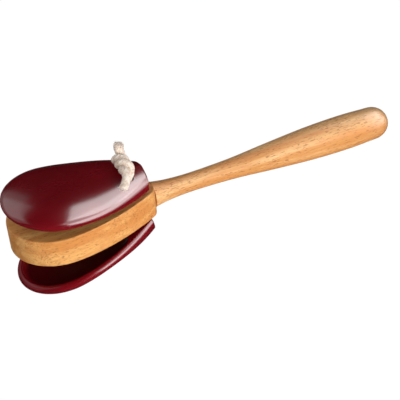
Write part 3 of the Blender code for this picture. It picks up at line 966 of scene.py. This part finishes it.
def red_lacquer(name, place):
    material, nodes, shader = new_finish(name)
    outward, origin = place.col[2].to_3d(), place.translation
    spot = nodes.add("ShaderNodeTexCoord", output="Object")
    normal = nodes.add("ShaderNodeNewGeometry", output="Normal")
    height = nodes.dot(spot, outward) - outward.dot(origin)
    facing = nodes.dot(normal, outward)
    hollow = nodes.ramp(height, HOLLOW_FROM, HOLLOW_FULL) * (1 - nodes.ramp(facing, -0.3, 0.0))
    worn = (1 - hollow) * (1 - nodes.ramp(facing, -0.85, -0.35))
    cloud = nodes.streaks((30, 60, 60))
    grain = nodes.streaks((60, 700, 700))
    peel = nodes.streaks((1100, 1100, 1100), detail=1.0)
    colour = nodes.blend(nodes.ramp(cloud, 0.3, 0.7), LACQUER_TONE, THIN_LACQUER_TONE)
    colour = nodes.blend(nodes.ramp(grain, 0.45, 0.8) * 0.12, colour, LACQUER_GRAIN_TONE)
    # Painted shade: the hollow's colour is darkened towards the shade tone
    colour = nodes.blend(hollow * HOLLOW_SHADE_AND_MATT_SHARE, colour, HOLLOW_PAINTED_SHADE_TONE)
    finish = {
        "Base Color": colour,
        "Roughness": 0.34 + (peel - 0.5) * 0.12,
        "Specular IOR Level": 0,
        "Coat Weight": 1 - hollow * HOLLOW_SHADE_AND_MATT_SHARE - worn * WORN_SHARE,
        "Coat IOR": 2.1,
        "Coat Roughness": 0.18,
        "Normal": nodes.bump(grain * 0.6 + peel * 0.4, strength=0.16, depth=0.1 * MM),
    }
    nodes.fill(shader, finish)
    return material


for piece, name, place in (
    (top_dome, "red_lacquer_top", TOP_PLACE),
    (bottom_dome, "red_lacquer_bottom", BOTTOM_PLACE),
):
    piece.data.materials.clear()
    piece.data.materials.append(red_lacquer(name, place))
print("red lacquer on", top_dome.name, "and", bottom_dome.name)

# %% [markdown]
# ## Cotton
# Undyed cotton is a warm white without gloss. Between the yarns it looks darker and yellower, and the yarns'
# own fibres give it a fine tooth. Noise on the cord's coordinates gives the tooth, and the modelled braid
# shades itself, so the colour needs only a little help. The cord is kept out of mirror reflections, because
# its image in the lacquer would stand apart from the tail as a spot.

# %% Cotton finish
WARM_COTTON_TONE, WHITE_COTTON_TONE = tone(246, 224, 206), tone(255, 244, 231)
TOOTH_TONE, FUZZ_TONE = tone(208, 182, 160), tone(214, 190, 170)


def cotton():
    material, nodes, shader = new_finish("cotton")
    fuzz = nodes.streaks((2600, 2600, 2600))
    tooth = nodes.streaks((1050, 1050, 1050), detail=1.0)
    patches = nodes.streaks((420, 420, 420))
    colour = nodes.blend(nodes.ramp(patches, 0.3, 0.7), WARM_COTTON_TONE, WHITE_COTTON_TONE)
    colour = nodes.blend(nodes.ramp(tooth, 0.42, 0.66) * 0.65, colour, TOOTH_TONE)
    colour = nodes.blend(nodes.ramp(fuzz, 0.5, 0.8) * 0.5, colour, FUZZ_TONE)
    finish = {
        "Base Color": colour,
        "Roughness": 0.9 + (fuzz - 0.5) * 0.1,
        "Specular IOR Level": 0.2,
        "Sheen Weight": 0.25,
        "Normal": nodes.bump(fuzz, strength=0.6, depth=0.2 * MM),
    }
    nodes.fill(shader, finish)
    return material


cotton_finish = cotton()
for piece in (cord_near, cord_far, cord_below, tuft_near, tuft_far):
    piece.data.materials.append(cotton_finish)
    piece.visible_glossy = False
print("cotton on the cord and its tufts")

# %% [markdown]
# ## Lamps
# A key light at the front, low and a little to the right, models the wood. Lacquer is lit as photographers
# light it, by what it mirrors: two softboxes on the right, within a wider and dimmer one, draw the broad
# highlight along the shell's flank with a soft edge. A weak pair behind on the left, a small one within a
# large one, shows in the front of the dome. The key light stays out of the gloss, and the lamps on the right
# stay off the matt surfaces, so that wood and lacquer are lit apart.

# %% Softboxes round the head
HEAD_MIDDLE = Vector((-125 * MM, 0, 0))


def softbox(name, azimuth, elevation, distance, size, power):
    """A rectangular lamp that faces the head, placed by two angles in degrees, in metres and watts."""
    direction = direction_from(math.radians(azimuth), math.radians(elevation))
    data = bpy.data.lights.new(name, "AREA")
    data.shape = "RECTANGLE"
    data.size, data.size_y = size
    data.energy = power
    lamp = bpy.data.objects.new(name, data)
    lamp.location = HEAD_MIDDLE + direction * distance
    lamp.rotation_euler = direction.to_track_quat("Z", "Y").to_euler()
    lamp.visible_camera = False
    bpy.context.scene.collection.objects.link(lamp)
    return lamp


key_lamp = softbox("key light", 18, 9, 0.9, (0.5, 0.5), 7.2)
key_lamp.visible_glossy = False
right_lamps = [
    softbox("upper softbox", 83, 53.5, 0.9, (0.7, 0.66), 4.7),
    softbox("lower softbox", 48, 22, 0.9, (1.1, 0.55), 4.8),
    softbox("wide softbox", 55, 27, 0.92, (1.35, 1.4), 8.3),
]
for lamp in right_lamps:
    lamp.visible_diffuse = False
left_lamps = [
    softbox("left softbox", -128, 29, 0.55, (0.9, 0.68), 0.55),
    softbox("left core softbox", -138, 43.5, 0.6, (0.5, 0.42), 0.31),
]
print("lamps:", *(lamp.name for lamp in (key_lamp, *right_lamps, *left_lamps)))

# %% [markdown]
# ## Room
# The room fills the shadows, with a brighter wall in front on the left and another behind. Its light depends
# on who looks: the camera sees plain white, matt surfaces get the soft fill, and glossy ones see the room
# nearly black, so that the lacquer keeps its colour.

# %% Light of the room
ROOM_LEVEL = 0.11
FRONT_LEVEL = 0.55
FRONT_DIRECTION = Vector((-0.75, -0.65, 0.1)).normalized()
BACK_LEVEL = 0.7
BACK_DIRECTION = Vector((0.2, 0.95, -0.2)).normalized()
BACK_EDGE = 0.2
MIRRORED_CEILING = 0.0
MIRRORED_FLOOR = 0.02
HORIZON_BLUR = 0.1
WHITE = (1, 1, 1, 1)

world = bpy.data.worlds.new("studio")
world.use_nodes = True
bpy.context.scene.world = world
room = Nodes(world.node_tree)
seen = room.add("ShaderNodeLightPath", output="Is Camera Ray")
mirrored = room.add("ShaderNodeLightPath", output="Is Glossy Ray")
through = room.add("ShaderNodeLightPath", output="Is Transmission Ray")
glossy = mirrored + through
soft = 1 - seen - glossy
direction = room.add("ShaderNodeTexCoord", output="Generated")
height = room.add("ShaderNodeSeparateXYZ", {}, {"Vector": direction}, output="Z")
above = room.ramp(height, -HORIZON_BLUR, HORIZON_BLUR)
glossy_level = MIRRORED_FLOOR + above * (MIRRORED_CEILING - MIRRORED_FLOOR)
in_front = room.ramp(room.dot(direction, FRONT_DIRECTION), 0.0, 1.0)
behind = room.ramp(room.dot(direction, BACK_DIRECTION), BACK_EDGE, 1.0)
soft_level = ROOM_LEVEL + in_front * FRONT_LEVEL + behind * BACK_LEVEL
strength = seen + glossy * glossy_level + soft * soft_level
room.fill(world.node_tree.nodes["Background"], {"Strength": strength, "Color": WHITE})
print("room level:", ROOM_LEVEL, "with", FRONT_LEVEL, "in front and", BACK_LEVEL, "behind")

# %% [markdown]
# ## Floor
# The castanet floats over a pale floor, far enough below it that only a trace of shadow is left. To the
# camera the floor nearly glows, which makes it white without more light on the wood, and a small share of
# plain paint keeps that trace.

# %% Pale floor
FLOOR_HALF_SIZE = 6
FLOOR_DROP = 0.25
FLOOR_GLOW = 0.97
GLOW_STRENGTH = 1.03
FLOOR_TONE = (0.86, 0.86, 0.86, 1)

floor_bm = bmesh.new()
bmesh.ops.create_grid(floor_bm, x_segments=1, y_segments=1, size=FLOOR_HALF_SIZE)
bmesh.ops.translate(floor_bm, verts=floor_bm.verts, vec=(0, 0, CAD_BOX[0][2] - FLOOR_DROP))
floor = finished_piece("floor", floor_bm, SHARP_DEGREES)
floor_finish, nodes, shader = new_finish("pale floor")
nodes.fill(shader, {"Base Color": FLOOR_TONE, "Roughness": 0.9, "Specular IOR Level": 0.0})
glow = nodes.add("ShaderNodeEmission", {}, {"Color": WHITE, "Strength": GLOW_STRENGTH})
seen = nodes.add("ShaderNodeLightPath", output="Is Camera Ray")
plain = Value(nodes, shader.outputs["BSDF"])
surface = nodes.add("ShaderNodeMixShader", {}, {0: seen * FLOOR_GLOW, 1: plain, 2: glow})
nodes.fill(nodes.tree.nodes["Material Output"], {"Surface": surface})
floor.data.materials.append(floor_finish)
floor.visible_glossy = False
bpy.context.scene.view_settings.view_transform = "Standard"
print("floor", -round(floor.data.vertices[0].co.z / MM), "mm below the handle's axis")

# %% [markdown]
# ## Finish
# The view layer is brought up to date at the end. The dressed part fills about the same box as the solid
# model; only a little fuzz on the cord's ends stands out.

# %% Finish
bpy.context.view_layer.update()
